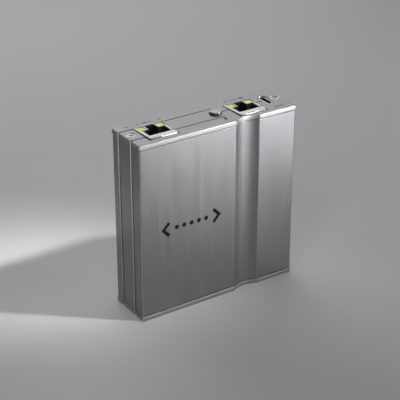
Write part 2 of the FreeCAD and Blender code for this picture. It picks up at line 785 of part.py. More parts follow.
def make_button():
    """Metal cap with a flange that keeps it behind the plate, its switch and the plunger."""
    body = doc.addObject("PartDesign::Body", "button_cap")
    sketch = new_sketch(body, "button_cap_section", role="XZ_Plane")
    top = "dim.height + dim.button_proud"
    outline(sketch, [
        ("0", FLANGE_UNDER),
        ("dim.button / 2 + dim.flange_lip", FLANGE_UNDER),
        ("dim.button / 2 + dim.flange_lip", FLANGE_TOP),
        ("dim.button / 2", FLANGE_TOP),
        ("dim.button / 2", top),
        ("0", top),
    ])
    turned = body.newObject("PartDesign::Revolution", "button_cap_turned")
    turned.Profile = sketch
    turned.ReferenceAxis = (sketch, ["V_Axis"])
    turned.Angle = 360
    finish(body, turned)
    crown = edges_like(body, lambda edge: abs(edge.BoundBox.ZMin - measure(top)) < 1e-6)
    dress(body, "Fillet", "button_cap_crown", crown, "dim.button_round")
    body.setExpression("Placement.Base.x", "dim.button_x")
    body.setExpression("Placement.Base.y", "dim.port_line")
    keep(body, "button_cap")

    stem = rod(
        "switch_plunger",
        "dim.plunger / 2",
        "dim.button_x",
        "dim.port_line",
        (f"{SWITCH_TOP} - dim.plunger_in", FLANGE_UNDER),
    )
    keep(stem, "switch_plunger")

    case = block(
        "switch_case",
        around("dim.button_x", "dim.switch_width"),
        ("dim.port_line - dim.switch_width / 2", BOARD_FRONT),
        (f"{SWITCH_TOP} - dim.switch_long", SWITCH_TOP),
    )
    well = rod(
        "switch_well",
        "dim.plunger / 2 + dim.plunger_gap",
        "dim.button_x",
        "dim.port_line",
        (f"{SWITCH_TOP} - dim.plunger_in - dim.travel - dim.plunger_gap", f"{SWITCH_TOP} + dim.travel"),
    )
    keep(cut("switch_body", case, [well]), "switch_body")


# ---- circuit board and what is on it --------------------------------------------------------------

def on_front(name, x, z, width, long, tall):
    """A chip or block that sits on the board's front face."""
    return block(name, around(x, width), (f"{BOARD_FRONT} - ({tall})", BOARD_FRONT), around(z, long))


def make_board():
    half = f"({ROOM_SIDE} - dim.board_edge_gap)"
    card = block(
        "main_board",
        (f"-{half}", half),
        (BOARD_FRONT, BOARD_BACK),
        ("dim.plate_thick + dim.board_end_gap", f"{PLATE_UNDER} - dim.board_end_gap"),
    )
    keep(card, "main_board")


def make_network_parts():
    """Behind each socket, its transformer block and the chip that drives it."""
    transformers = []
    drivers = []
    transformer_z = f"({JACK_BASE} - dim.transformer_drop - dim.transformer_long / 2)"
    driver_z = f"({transformer_z} - dim.transformer_long / 2 - dim.phy_drop - dim.phy / 2)"
    for side, x in (("left", "dim.left_jack"), ("right", "dim.right_jack")):
        transformers.append(on_front(f"{side}_transformer", x, transformer_z,
                                     "dim.transformer_width", "dim.transformer_long", "dim.transformer_tall"))
        drivers.append(on_front(f"{side}_driver", x, driver_z, "dim.phy", "dim.phy", "dim.phy_tall"))
    keep(group("network_transformers", transformers), "network_transformers")
    keep(group("network_chips", drivers), "network_chips")
    crystal = on_front("clock_crystal", "dim.crystal_x", "dim.processor_z",
                       "dim.crystal_width", "dim.crystal_long", "dim.crystal_tall")
    keep(crystal, "clock_crystal")


def make_processor():
    """Processor on the rear of the board, which passes its heat to the sleeve through a soft pad."""
    z = "dim.processor_z"
    chip_back = f"({BOARD_BACK} + dim.processor_tall)"
    size = around("0 * dim.processor", "dim.processor")
    keep(block("processor", size, (BOARD_BACK, chip_back), around(z, "dim.processor")), "processor")
    pad_size = "dim.processor - 2 * dim.pad_margin"
    pad_width = around("0 * dim.processor", pad_size)
    soft = block("thermal_pad", pad_width, (chip_back, ROOM_FACE), around(z, pad_size))
    keep(soft, "thermal_pad")

    half = f"({ROOM_SIDE} - dim.film_edge)"
    window = "dim.processor + 2 * dim.film_margin"
    sheet_solid = block(
        "film_sheet",
        (f"-{half}", half),
        (f"{ROOM_FACE} - dim.film_thick", ROOM_FACE),
        ("dim.plate_thick + dim.film_edge", f"{PLATE_UNDER} - dim.film_edge"),
    )
    gap = block(
        "film_window",
        around("0 * dim.processor", window),
        (f"{ROOM_FACE} - 2 * dim.film_thick", f"{ROOM_FACE} + dim.film_thick"),
        around(z, window),
    )
    keep(cut("insulating_film", sheet_solid, [gap]), "insulating_film")


def make_memory():
    chips = []
    for side in (-1, 1):
        z = f"dim.processor_z + {side} * (dim.memory_long + dim.memory_gap) / 2"
        chips.append(on_front(f"memory_{'low' if side < 0 else 'high'}", "dim.memory_x", z,
                              "dim.memory_width", "dim.memory_long", "dim.memory_tall"))
    keep(group("memory_chips", chips), "memory_chips")
    flash = on_front("flash_chip", "dim.flash_x", "dim.processor_z",
                     "dim.flash", "dim.flash", "dim.flash_tall")
    keep(flash, "flash_chip")


def make_power_parts():
    """Regulator, its two coils and a row of can capacitors near the lower end."""
    coils = []
    for side in (-1, 1):
        x = f"dim.coil_x + {side} * (dim.coil + dim.coil_gap) / 2"
        coils.append(on_front(f"coil_{'left' if side < 0 else 'right'}", x, "dim.coil_z",
                              "dim.coil", "dim.coil", "dim.coil_tall"))
    keep(group("power_coils", coils), "power_coils")
    chip = on_front("power_regulator", "dim.regulator_x", "dim.coil_z",
                    "dim.regulator", "dim.regulator", "dim.regulator_tall")
    keep(chip, "power_regulator")

    cans = []
    for number in range(CAN_COUNT):
        step = number - (CAN_COUNT - 1) / 2
        can = doc.addObject("Part::Cylinder", f"can_{number}")
        can.setExpression("Radius", "dim.can / 2")
        can.setExpression("Height", "dim.can_tall")
        can.Placement.Rotation = FreeCAD.Rotation(FreeCAD.Vector(1, 0, 0), 90)
        can.setExpression("Placement.Base.x", f"dim.can_x + {step} * dim.can_pitch")
        can.setExpression("Placement.Base.y", BOARD_FRONT)
        can.setExpression("Placement.Base.z", "dim.can_z")
        cans.append(can)
    keep(group("can_capacitors", cans), "can_capacitors")


# ---- the whole box ----------------------------------------------------------------------------------

make_sleeve()
make_port_plate()
make_blank_plate()
make_screws()
for jack_side, jack_x in (("left", "dim.left_jack"), ("right", "dim.right_jack")):
    make_jack(jack_side, jack_x)
make_power_socket()
make_button()
make_board()
make_network_parts()
make_processor()
make_memory()
make_power_parts()
doc.recompute()

for item in doc.Objects:
    if "Invalid" in item.State or "Error" in item.State:
        raise RuntimeError(f"{item.Label} was not built: {item.getStatusString()}")
for piece in nodes:
    if piece.Shape.isNull() or not piece.Shape.isValid() or not piece.Shape.Solids:
        raise RuntimeError(f"{piece.Label} has no valid solid")

os.makedirs("parts", exist_ok=True)
for piece in nodes:
    piece.Shape.exportStep(f"parts/{piece.Label}.step")
    print(f"{piece.Label}: {len(piece.Shape.Solids)} solids, {piece.Shape.Volume:.1f} mm3")
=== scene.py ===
# %% [markdown]
# A slim network box in Blender
#
# The object is a pocket-size box that sits in a network cable run. Its body is an aluminium extrusion,
# closed at both ends by a plate. The upper plate holds two network sockets, a power socket and a push
# button. The box stands on its lower plate.
#
# The solid model comes ready-made in model.glb. Here we load it, give every piece a
# believable finish, and rebuild the small parts whose shape matters up close: sockets, springs,
# contacts, screws and the printed symbols.

# %% Load the imported model
import math

import bmesh
import bpy
from mathutils import Matrix, Vector


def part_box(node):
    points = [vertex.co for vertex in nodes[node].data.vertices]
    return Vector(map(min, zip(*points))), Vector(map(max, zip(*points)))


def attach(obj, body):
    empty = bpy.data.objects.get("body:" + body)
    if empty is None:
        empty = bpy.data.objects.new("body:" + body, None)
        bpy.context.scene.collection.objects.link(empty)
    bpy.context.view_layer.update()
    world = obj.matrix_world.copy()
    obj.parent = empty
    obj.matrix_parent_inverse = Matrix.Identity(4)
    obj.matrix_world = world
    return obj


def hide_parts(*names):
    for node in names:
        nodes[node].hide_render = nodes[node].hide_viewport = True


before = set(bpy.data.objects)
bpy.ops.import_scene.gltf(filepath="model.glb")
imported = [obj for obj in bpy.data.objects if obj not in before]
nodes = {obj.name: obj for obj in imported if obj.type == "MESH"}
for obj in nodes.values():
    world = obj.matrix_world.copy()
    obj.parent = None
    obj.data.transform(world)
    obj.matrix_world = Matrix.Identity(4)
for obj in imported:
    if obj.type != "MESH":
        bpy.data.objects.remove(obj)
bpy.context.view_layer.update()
print("pieces in the model:", len(nodes))

# %% [markdown]
# Blender works in metres, but a maker thinks about this box in millimetres. One factor keeps every
# size below readable: 1.5 * MM is one and a half millimetres.

# %% Sizes that everything else starts from
MM = 0.001
HOUSING = "housing"
SIDES = ("left", "right")
case_low, case_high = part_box("body_sleeve")
plate_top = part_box("port_end_plate")[1].z
print("case is", round((case_high.x - case_low.x) / MM, 1), "mm wide")
print("plate top is at", round(plate_top / MM, 1), "mm")

# %% [markdown]
# The viewpoint
#
# A long lens, looking from above and from the left, keeps the upright edges almost parallel, the way
# product pictures are taken. Three plain angles aim it: how far round the object it is turned, how far
# above it rises, and a very small roll. A matrix made from those angles is easier to read and to change
# than a ready-made rotation.

# %% Camera
CAMERA_PLACE = Vector((-308.7, -462.8, 331.5)) * MM
CAMERA_TURN = math.radians(-33.417)
CAMERA_RISE = math.radians(26.919)
CAMERA_ROLL = math.radians(-0.055)
CAMERA_LENS = 113.35
CAMERA_SENSOR = 36
NEAREST = 0.02
FARTHEST = 20


def look(turn, rise, roll):
    """Rotation of a camera that looks at the object from an angle round it and above it."""
    upright = Matrix.Rotation(turn, 3, "Z") @ Matrix.Rotation(math.pi / 2 - rise, 3, "X")
    return upright @ Matrix.Rotation(roll, 3, "Z")


camera = bpy.data.objects.new("camera", bpy.data.cameras.new("camera"))
bpy.context.scene.collection.objects.link(camera)
camera.data.lens = CAMERA_LENS
camera.data.sensor_width = CAMERA_SENSOR
camera.data.clip_start = NEAREST
camera.data.clip_end = FARTHEST
aim = look(CAMERA_TURN, CAMERA_RISE, CAMERA_ROLL).to_4x4()
camera.matrix_world = Matrix.Translation(CAMERA_PLACE) @ aim
bpy.context.scene.camera = camera
print("camera is", round(CAMERA_PLACE.length, 3), "m from the foot of the box")

# %% [markdown]
# Helpers for finishes
#
# Real metal and plastic are never one flat value. Each finish below starts from Blender's Principled
# shader and adds small procedural variation. Textures use the object's own coordinates, in metres, so a
# grain of 0.1 mm is the same size on every piece and stays put when the camera moves.

# %% Start a finish
def new_finish(name, colour, metallic, roughness):
    """A material whose even values sit directly on the shader; returns it with its node tree."""
    finish = bpy.data.materials.new(name)
    finish.use_nodes = True
    tree = finish.node_tree
    shader = tree.nodes["Principled BSDF"]
    shader.inputs["Base Color"].default_value = (*colour, 1)
    shader.inputs["Metallic"].default_value = metallic
    shader.inputs["Roughness"].default_value = roughness
    return finish, tree, shader


# %% Noise at a real size
def grain(tree, size, detail=3.0):
    """Noise whose features are about size (x, y, z) in metres."""
    place = tree.nodes.new("ShaderNodeTexCoord")
    scale = tree.nodes.new("ShaderNodeMapping")
    scale.inputs["Scale"].default_value = [1 / length for length in size]
    noise = tree.nodes.new("ShaderNodeTexNoise")
    noise.inputs["Scale"].default_value = 1
    noise.inputs["Detail"].default_value = detail
    tree.links.new(place.outputs["Object"], scale.inputs["Vector"])
    tree.links.new(scale.outputs["Vector"], noise.inputs["Vector"])
    return noise.outputs["Fac"]


def spread(tree, value, low, high):
    """Stretches noise, which mostly stays between 0.3 and 0.7, over a range."""
    ramp = tree.nodes.new("ShaderNodeMapRange")
    ramp.inputs["From Min"].default_value = 0.3
    ramp.inputs["From Max"].default_value = 0.7
    ramp.inputs["To Min"].default_value = low
    ramp.inputs["To Max"].default_value = high
    tree.links.new(value, ramp.inputs["Value"])
    return ramp.outputs["Result"]


# %% Colour, relief and roughness from a value
def tint(tree, value, dark, light):
    """Mixes two colours by a value between 0 and 1."""
    mix = tree.nodes.new("ShaderNodeMix")
    mix.data_type = "RGBA"
    mix.inputs["A"].default_value = (*dark, 1)
    mix.inputs["B"].default_value = (*light, 1)
    tree.links.new(value, mix.inputs["Factor"])
    return mix.outputs["Result"]


def relief(tree, shader, value, height, strength=1.0, edge=0.0):
    """Raises the surface where the value is high and softens its edges; both lengths are in metres."""
    bump = tree.nodes.new("ShaderNodeBump")
    bump.inputs["Distance"].default_value = height
    bump.inputs["Strength"].default_value = strength
    if edge:
        softened = tree.nodes.new("ShaderNodeBevel")
        softened.inputs["Radius"].default_value = edge
        tree.links.new(softened.outputs["Normal"], bump.inputs["Normal"])
    tree.links.new(value, bump.inputs["Height"])
    tree.links.new(bump.outputs["Normal"], shader.inputs["Normal"])


def wear(tree, shader, value, low, high):
    """Lets the roughness wander between two values."""
    tree.links.new(spread(tree, value, low, high), shader.inputs["Roughness"])


# %% Put a finish on CAD pieces
def dress(node_names, finish):
    """Gives carried-over CAD pieces a finish."""
    for name in node_names:
        slots = nodes[name].data.materials
        if not slots:
            slots.append(finish)
        for index in range(len(slots)):
            slots[index] = finish


print("finish helpers ready")

# %% [markdown]
# Anodised extrusion
#
# The sleeve is pushed through a die, lightly brushed along its length and anodised silver-grey. So its
# grain is very long and very thin: fractions of a millimetre across and several centimetres tall. That
# stretched noise drives roughness and a relief of a few microns, and a broad soft noise lets the colour
# drift a little. Tumbling has also taken the sharpness off every edge; a Bevel node turns the surface
# normals over the last 0.15 mm, so that edges catch a thin line of light without any change to the mesh.

# %% Case finish
EDGE_SOFT = 0.15 * MM
BRUSH_FINE = 0.22 * MM
BRUSH_LONG = 40 * MM


def case_finish():
    finish, tree, shader = new_finish("anodised_extrusion", (0.255, 0.252, 0.261), 1.0, 0.36)
    streaks = grain(tree, (BRUSH_FINE, BRUSH_FINE, BRUSH_LONG), detail=4)
    cloud = grain(tree, (14 * MM, 14 * MM, 22 * MM), detail=2)
    tree.links.new(
        tint(tree, spread(tree, cloud, 0, 1), (0.242, 0.239, 0.249), (0.268, 0.265, 0.274)),
        shader.inputs["Base Color"],
    )
    wear(tree, shader, streaks, 0.33, 0.43)
    relief(tree, shader, streaks, 0.004 * MM, 0.5, EDGE_SOFT)
    return finish


dress(["body_sleeve"], case_finish())
print("case dressed")

# %% [markdown]
# Blasted end plates
#
# Both plates are milled, bead-blasted and anodised. Blasting leaves tiny round dents that scatter light
# evenly, so the noise is the same size in every direction and finer than a tenth of a millimetre. The
# engraved lines are cut afterwards, so their edges stay crisper than those of the sleeve.

# %% Plate finish
EDGE_CRISP = 0.04 * MM
DENT = 0.07 * MM


def plate_finish():
    finish, tree, shader = new_finish("blasted_plate", (0.30, 0.297, 0.304), 1.0, 0.42)
    dents = grain(tree, (DENT,) * 3, detail=2)
    cloud = grain(tree, (9 * MM,) * 3, detail=3)
    tree.links.new(
        tint(tree, spread(tree, cloud, 0, 1), (0.286, 0.282, 0.290), (0.314, 0.311, 0.318)),
        shader.inputs["Base Color"],
    )
    wear(tree, shader, dents, 0.38, 0.48)
    relief(tree, shader, dents, 0.006 * MM, 0.6, EDGE_CRISP)
    return finish


dress(["port_end_plate", "blank_end_plate"], plate_finish())
print("plates dressed")

# %% [markdown]
# Turned button
#
# The cap is turned on a lathe, which leaves fine rings round its axis. A wave texture set to rings, read
# about the button's own middle, gives that cut.

# %% Button finish
RING_PITCH = 3.2 * MM


def button_finish():
    finish, tree, shader = new_finish("turned_cap", (0.29, 0.287, 0.294), 1.0, 0.30)
    low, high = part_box("button_cap")
    middle = (low + high) / 2
    place = tree.nodes.new("ShaderNodeTexCoord")
    shift = tree.nodes.new("ShaderNodeMapping")
    shift.inputs["Location"].default_value = (-middle.x, -middle.y, 0)
    rings = tree.nodes.new("ShaderNodeTexWave")
    rings.wave_type = "RINGS"
    rings.rings_direction = "Z"
    rings.inputs["Scale"].default_value = 1 / RING_PITCH
    rings.inputs["Distortion"].default_value = 0.3
    tree.links.new(place.outputs["Object"], shift.inputs["Vector"])
    tree.links.new(shift.outputs["Vector"], rings.inputs["Vector"])
    scratches = grain(tree, (0.3 * MM,) * 3, detail=5)
    wear(tree, shader, scratches, 0.26, 0.38)
    relief(tree, shader, rings.outputs["Fac"], 0.003 * MM, 0.5)
    return finish


dress(["button_cap"], button_finish())
print("button dressed")

# %% [markdown]
# Small metal parts
#
# Screws are zinc-plated steel, the sockets are pressed from nickel-plated sheet, and the power socket is
# stainless. Contacts are gold-flashed, and cans are drawn from bright sheet. They share one recipe, fine
# handling scratches over a bright base, with their own colour and shine.

# %% Plated metals
def plated(name, colour, roughness, scratch_size):
    finish, tree, shader = new_finish(name, colour, 1.0, roughness)
    scratches = grain(tree, (scratch_size, scratch_size * 6, scratch_size * 3), detail=4)
    wear(tree, shader, scratches, roughness * 0.95, roughness * 1.07)
    relief(tree, shader, scratches, 0.0008 * MM, 0.3)
    return finish


screw_steel = plated("zinc_plated_steel", (0.40, 0.40, 0.40), 0.26, 0.25 * MM)
socket_sheet = plated("nickel_plated_sheet", (0.36, 0.353, 0.335), 0.26, 0.35 * MM)
power_sheet = plated("stainless_sheet", (0.62, 0.62, 0.63), 0.22, 0.3 * MM)
gold = plated("gold_flash", (0.92, 0.70, 0.30), 0.22, 0.12 * MM)
tin_can = plated("drawn_can", (0.72, 0.72, 0.74), 0.3, 0.5 * MM)
dress(["usb_c_shell"], power_sheet)
dress(["usb_c_contacts"], gold)
dress(["can_capacitors", "clock_crystal"], tin_can)
print("plated metals ready")

# %% [markdown]
# Moulded plastics and the board
#
# Black connector plastic is glass-filled, so it is matt with a very fine tooth. The circuit board has a
# green-black solder mask with the weave of glass cloth just visible under it. Two crossed wave textures
# would give that weave; here a fine even noise is enough, because the board is closed away.

# %% Plastics, board and inner parts
def moulded(name, colour, roughness, tooth, height):
    finish, tree, shader = new_finish(name, colour, 0.0, roughness)
    skin = grain(tree, (tooth,) * 3, detail=3)
    wear(tree, shader, skin, roughness * 0.9, roughness * 1.15)
    relief(tree, shader, skin, height, 0.5)
    return finish


socket_black = moulded("connector_black", (0.012, 0.012, 0.013), 0.45, 0.12 * MM, 0.006 * MM)
chip_black = moulded("package_black", (0.03, 0.03, 0.032), 0.6, 0.1 * MM, 0.01 * MM)
coil_grey = moulded("pressed_powder", (0.12, 0.12, 0.125), 0.75, 0.2 * MM, 0.02 * MM)
board_mask = moulded("solder_mask", (0.012, 0.05, 0.035), 0.35, 0.45 * MM, 0.008 * MM)
natural_acetal = moulded("natural_acetal", (0.72, 0.71, 0.66), 0.4, 0.3 * MM, 0.005 * MM)
soft_pad = moulded("silicone_pad", (0.35, 0.46, 0.52), 0.7, 0.4 * MM, 0.03 * MM)
thin_film = moulded("polyester_film", (0.06, 0.06, 0.065), 0.25, 2 * MM, 0.01 * MM)
dress(["usb_c_insert"], socket_black)
dress(["processor", "memory_chips", "flash_chip", "network_chips"], chip_black)
dress(["network_transformers", "power_regulator", "switch_body"], chip_black)
dress(["power_coils"], coil_grey)
dress(["main_board"], board_mask)
dress(["switch_plunger"], natural_acetal)
dress(["thermal_pad"], soft_pad)
dress(["insulating_film"], thin_film)
print("plastics ready")

# %% [markdown]
# Lit lamps
#
# Each socket has two clear light pipes, lit yellow-green from behind. Light comes through a moulding
# unevenly, so a coarse noise moves the glow between two tones. The glow is weak enough to keep its colour
# instead of burning out to white.

# %% Lamp finish
CLEAR_PLASTIC_IOR = 1.49
GLOW_DIM = (0.42, 0.46, 0.035)
GLOW_BRIGHT = (0.86, 0.88, 0.26)


def lamp_finish():
    finish, tree, shader = new_finish("lit_light_pipe", (0.20, 0.25, 0.05), 0.0, 0.34)
    shader.inputs["IOR"].default_value = CLEAR_PLASTIC_IOR
    shader.inputs["Emission Strength"].default_value = 0.52
    mottle = grain(tree, (0.9 * MM,) * 3, detail=2)
    glow = tint(tree, spread(tree, mottle, 0, 1), GLOW_DIM, GLOW_BRIGHT)
    tree.links.new(glow, shader.inputs["Emission Color"])
    wear(tree, shader, mottle, 0.28, 0.42)
    return finish


lamp_glow = lamp_finish()
print("lamp finish ready")

# %% [markdown]
# Building blocks for new pieces
#
# Most pieces below are made from bevelled blocks and lathe-turned shapes that are cut by one another.
# Cutting is done with Boolean modifiers whose result is written to a new mesh, so nothing stays live.
# Shading is smooth except across real edges.

# %% Pieces and shading
def to_piece(name, mesh, finish, body=HOUSING):
    """Puts a mesh in the scene as a named piece that rides on a body."""
    mesh.materials.clear()
    mesh.materials.append(finish)
    piece = bpy.data.objects.new(name, mesh)
    bpy.context.scene.collection.objects.link(piece)
    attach(piece, body)
    return piece


def smooth(mesh, angle=35):
    """Smooth shading that breaks at edges sharper than an angle in degrees."""
    mesh.shade_smooth()
    mesh.set_sharp_from_angle(angle=math.radians(angle))


def from_bmesh(work, name):
    """Ends the work on a mesh: faces turned outwards, and the mesh handed over."""
    mesh = bpy.data.meshes.new(name)
    bmesh.ops.recalc_face_normals(work, faces=work.faces)
    work.to_mesh(mesh)
    work.free()
    return mesh


# %% Blocks and turned solids
def block(low, high, bevel=0.0, steps=3):
    """A block between two corners, its edges rounded."""
    work = bmesh.new()
    bmesh.ops.create_cube(work, size=1)
    low = Vector(low)
    size = Vector(high) - low
    for vertex in work.verts:
        vertex.co = Vector([low[i] + (vertex.co[i] + 0.5) * size[i] for i in range(3)])
    if bevel:
        edges = work.edges[:]
        bmesh.ops.bevel(work, geom=edges, offset=bevel, segments=steps, affect="EDGES", profile=0.5)
    return from_bmesh(work, "block")


def turned(profile, centre, steps=48):
    """A solid of revolution about an upright axis from (radius, height) pairs."""
    work = bmesh.new()
    rings = []
    for radius, height in profile:
        if radius == 0:
            rings.append([work.verts.new((centre[0], centre[1], height))] * steps)
            continue
        ring = []
        for step in range(steps):
            angle = 2 * math.pi * step / steps
            x = centre[0] + radius * math.cos(angle)
            y = centre[1] + radius * math.sin(angle)
            ring.append(work.verts.new((x, y, height)))
        rings.append(ring)
    for lower, upper in zip(rings, rings[1:]):
        for step in range(steps):
            after = (step + 1) % steps
            corners = [lower[step], lower[after], upper[after], upper[step]]
            unique = list(dict.fromkeys(corners))
            if len(unique) > 2:
                work.faces.new(unique)
    return from_bmesh(work, "turned")


# %% Join and carve
def joined(meshes):
    """Several meshes in one."""
    work = bmesh.new()
    for mesh in meshes:
        work.from_mesh(mesh)
    return from_bmesh(work, "joined")


REAL_EDGE = math.radians(40)


def carved(blank, cutters, soft_edge=0.0):
    """The blank with every cutter taken away, and its new edges slightly broken."""
    made = [bpy.data.objects.new("carving", mesh) for mesh in [blank, *cutters]]
    for item in made:
        bpy.context.scene.collection.objects.link(item)
    for cutter in made[1:]:
        cut = made[0].modifiers.new("cut", "BOOLEAN")
        cut.operation = "DIFFERENCE"
        cut.solver = "EXACT"
        cut.object = cutter
    if soft_edge:
        round_off = made[0].modifiers.new("round_off", "BEVEL")
        round_off.width = soft_edge
        round_off.segments = 2
        round_off.limit_method = "ANGLE"
        round_off.angle_limit = REAL_EDGE
    bpy.context.view_layer.update()
    finished = made[0].evaluated_get(bpy.context.evaluated_depsgraph_get())
    result = bpy.data.meshes.new_from_object(finished)
    for item in made:
        bpy.data.objects.remove(item)
    return result


print("mesh helpers ready")

# %% [markdown]
# Socket shells
#
# A network socket is wrapped in a pressed sheet shell. Its face has an opening for the plug with a step
# for the latch, and two windows for the lamps. Folding leaves round outer edges that catch the light,
# so the shell starts as a rounded block and is hollowed out, rather than being built from flat sheets.

# %% Sizes of a network socket
SKIN = 0.3 * MM
FOLD = 0.6 * MM
MOUTH_WIDTH = 11.9 * MM
MOUTH_TALL = 6.2 * MM
MOUTH_SILL = 3.8 * MM
MOUTH_DEEP = 12.5 * MM
LATCH_WIDTH = 5.0 * MM
LATCH_TALL = 4.3 * MM
LATCH_DEEP = 8.0 * MM
SEAT_FIT = 0.15 * MM
PAST = 1 * MM
LAMP_WIDTH = 3.3 * MM
print("plug mouth is", round(MOUTH_WIDTH / MM, 1), "by", round(MOUTH_TALL / MM, 1), "mm")


# %% The plug's way in and the lamps' places
def socket_mouth(shell, spare, deep, latch_deep):
    """The plug's way in and its latch step, measured from the shell's front and face."""
    low, high = shell
    middle = (low.x + high.x) / 2
    sill = low.y + MOUTH_SILL
    lintel = sill + MOUTH_TALL
    over = high.z + PAST
    plug = block(
        (middle - MOUTH_WIDTH / 2 - spare, sill - spare, high.z - deep),
        (middle + MOUTH_WIDTH / 2 + spare, lintel + spare, over),
    )
    latch = block(
        (middle - LATCH_WIDTH / 2 - spare, lintel - SKIN, high.z - latch_deep),
        (middle + LATCH_WIDTH / 2 + spare, lintel + LATCH_TALL + spare, over),
    )
    return plug, latch


def lamp_boxes(side):
    """The two lamps of a socket, from the CAD node's box: one at each end of it."""
    low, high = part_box(f"{side}_jack_lamps")
    return [
        (low, Vector((low.x + LAMP_WIDTH, high.y, high.z))),
        (Vector((high.x - LAMP_WIDTH, low.y, low.z)), high),
    ]


def grown(low, high, by):
    """The corners of a box made larger by the same amount on every side."""
    extra = Vector((by, by, by))
    return low - extra, high + extra


# %% Press the shells
HOLE_RADIUS = 0.45 * MM
HOLE_OFF = 6.95 * MM
VENT_FIRST = 3 * MM
VENT_TALL = 1.6 * MM
VENT_PITCH = 3.4 * MM
VENT_LOW, VENT_HIGH = 7 * MM, 12 * MM


def press_shell(side):
    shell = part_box(f"{side}_jack_shell")
    low, high = shell
    skin = Vector((SKIN, SKIN, SKIN))
    hollow = block(low + skin, Vector((high.x - SKIN, high.y + SKIN, high.z - SKIN)), 0.15 * MM, 2)
    windows = []
    for lamp_low, lamp_high in lamp_boxes(side):
        window_low, window_high = grown(lamp_low, lamp_high, SEAT_FIT)
        windows.append(block(window_low, (window_high.x, window_high.y, high.z + SKIN)))
    plug, latch = socket_mouth(shell, SEAT_FIT, PAST, PAST)
    vents = []
    for number in range(2):
        y = low.y + VENT_FIRST + number * VENT_PITCH
        vents.append(block(
            (low.x - SKIN, y, low.z + VENT_LOW),
            (high.x + SKIN, y + VENT_TALL, low.z + VENT_HIGH),
        ))
    hole_place = ((low.x + high.x) / 2 + HOLE_OFF, low.y + MOUTH_SILL + HOLE_RADIUS)
    bottom, top = high.z - PAST, high.z + SKIN
    hole = turned([(0, bottom), (HOLE_RADIUS, bottom), (HOLE_RADIUS, top), (0, top)], hole_place, 24)
    mesh = carved(block(low, high, FOLD, 4), [hollow, plug, latch, hole, *windows, *vents], 0.05 * MM)
    smooth(mesh)
    piece = to_piece(f"{side}_socket_shell", mesh, socket_sheet)
    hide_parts(f"{side}_jack_shell")
    print(piece.name, "has", len(mesh.polygons), "faces")


for side in SIDES:
    press_shell(side)

# %% [markdown]
# Spring fingers
#
# Strips of the shell are folded into the mouth so that they press on a screened plug. Each finger is a
# narrow ribbon that dips below the face, swells towards the plug and returns to the wall. A ribbon that
# follows a short list of side-view points and is then given thickness makes that shape directly.

# %% Fold the spring fingers
FINGER_WIDTH = 1.5 * MM
FINGER_THICK = 0.14 * MM
FINGER_SPOTS = (0.28, 0.72)
FINGER_LINE = [
    (0.0, -0.1), (0.25, -0.6), (0.55, -1.6), (0.85, -2.8),
    (0.7, -3.8), (0.25, -4.6), (0.05, -5.2),
]


def spring_finger(root, inward, along):
    """A finger that starts at root on the mouth's edge and swells inward."""
    work = bmesh.new()
    half = along * (FINGER_WIDTH / 2)
    sections = []
    for push, drop in FINGER_LINE:
        front = root + inward * (push * MM) + Vector((0, 0, drop * MM))
        back = front - inward * FINGER_THICK
        sections.append([work.verts.new(p) for p in (front - half, front + half, back + half, back - half)])
    for upper, lower in zip(sections, sections[1:]):
        for i in range(4):
            work.faces.new([upper[i], upper[(i + 1) % 4], lower[(i + 1) % 4], lower[i]])
    work.faces.new(sections[0][::-1])
    work.faces.new(sections[-1])
    return from_bmesh(work, "finger")


def fold_fingers(side):
    """Four fingers, two on each narrow wall of the mouth."""
    low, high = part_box(f"{side}_jack_shell")
    middle = (low.x + high.x) / 2
    sill = low.y + MOUTH_SILL
    to_right, to_rear = Vector((1, 0, 0)), Vector((0, 1, 0))
    fingers = []
    for part in FINGER_SPOTS:
        y = sill + MOUTH_TALL * part
        left_root = Vector((middle - MOUTH_WIDTH / 2, y, high.z))
        right_root = Vector((middle + MOUTH_WIDTH / 2, y, high.z))
        fingers.append(spring_finger(left_root, to_right, to_rear))
        fingers.append(spring_finger(right_root, -to_right, to_rear))
    mesh = joined(fingers)
    smooth(mesh, 50)
    piece = to_piece(f"{side}_spring_fingers", mesh, socket_sheet)
    print(piece.name, "has", len(fingers), "fingers")


for side in SIDES:
    fold_fingers(side)

# %% [markdown]
# Moulded inserts
#
# Inside the shell is one black moulding: the plug's cavity, the latch step, seats for the light pipes and
# a comb of slots that keeps the contacts apart. The comb is eight thin cutters in a row.

# %% Mould the inserts
PIN_COUNT = 8
PIN_PITCH = 1.02 * MM
SEAT_TIGHT = 0.03 * MM
COMB_HALF = 0.3 * MM
COMB_DEEP = 0.7 * MM
COMB_OPEN = 0.1 * MM
COMB_TOP, COMB_BOTTOM = 1.2 * MM, 11 * MM


def pin_places(side):
    """The x of each contact."""
    low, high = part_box(f"{side}_jack_shell")
    middle = (low.x + high.x) / 2
    return [middle + (number - (PIN_COUNT - 1) / 2) * PIN_PITCH for number in range(PIN_COUNT)]


def mould_insert(side):
    low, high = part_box(f"{side}_jack_insert")
    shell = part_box(f"{side}_jack_shell")
    sill = shell[0].y + MOUTH_SILL
    plug, latch = socket_mouth(shell, 0, MOUTH_DEEP, LATCH_DEEP)
    seats = []
    for lamp_low, lamp_high in lamp_boxes(side):
        seat_low, seat_high = grown(lamp_low, lamp_high, SEAT_TIGHT)
        seats.append(block(seat_low, (seat_high.x, seat_high.y, high.z + SKIN)))
    comb = [
        block(
            (x - COMB_HALF, sill - COMB_DEEP, high.z - COMB_BOTTOM),
            (x + COMB_HALF, sill + COMB_OPEN, high.z - COMB_TOP),
        )
        for x in pin_places(side)
    ]
    mesh = carved(block(low, high, 0.12 * MM, 2), [plug, latch, *seats, *comb], 0.04 * MM)
    smooth(mesh)
    piece = to_piece(f"{side}_socket_insert", mesh, socket_black)
    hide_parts(f"{side}_jack_insert")
    print(piece.name, "has", len(mesh.polygons), "faces")


for side in SIDES:
    mould_insert(side)

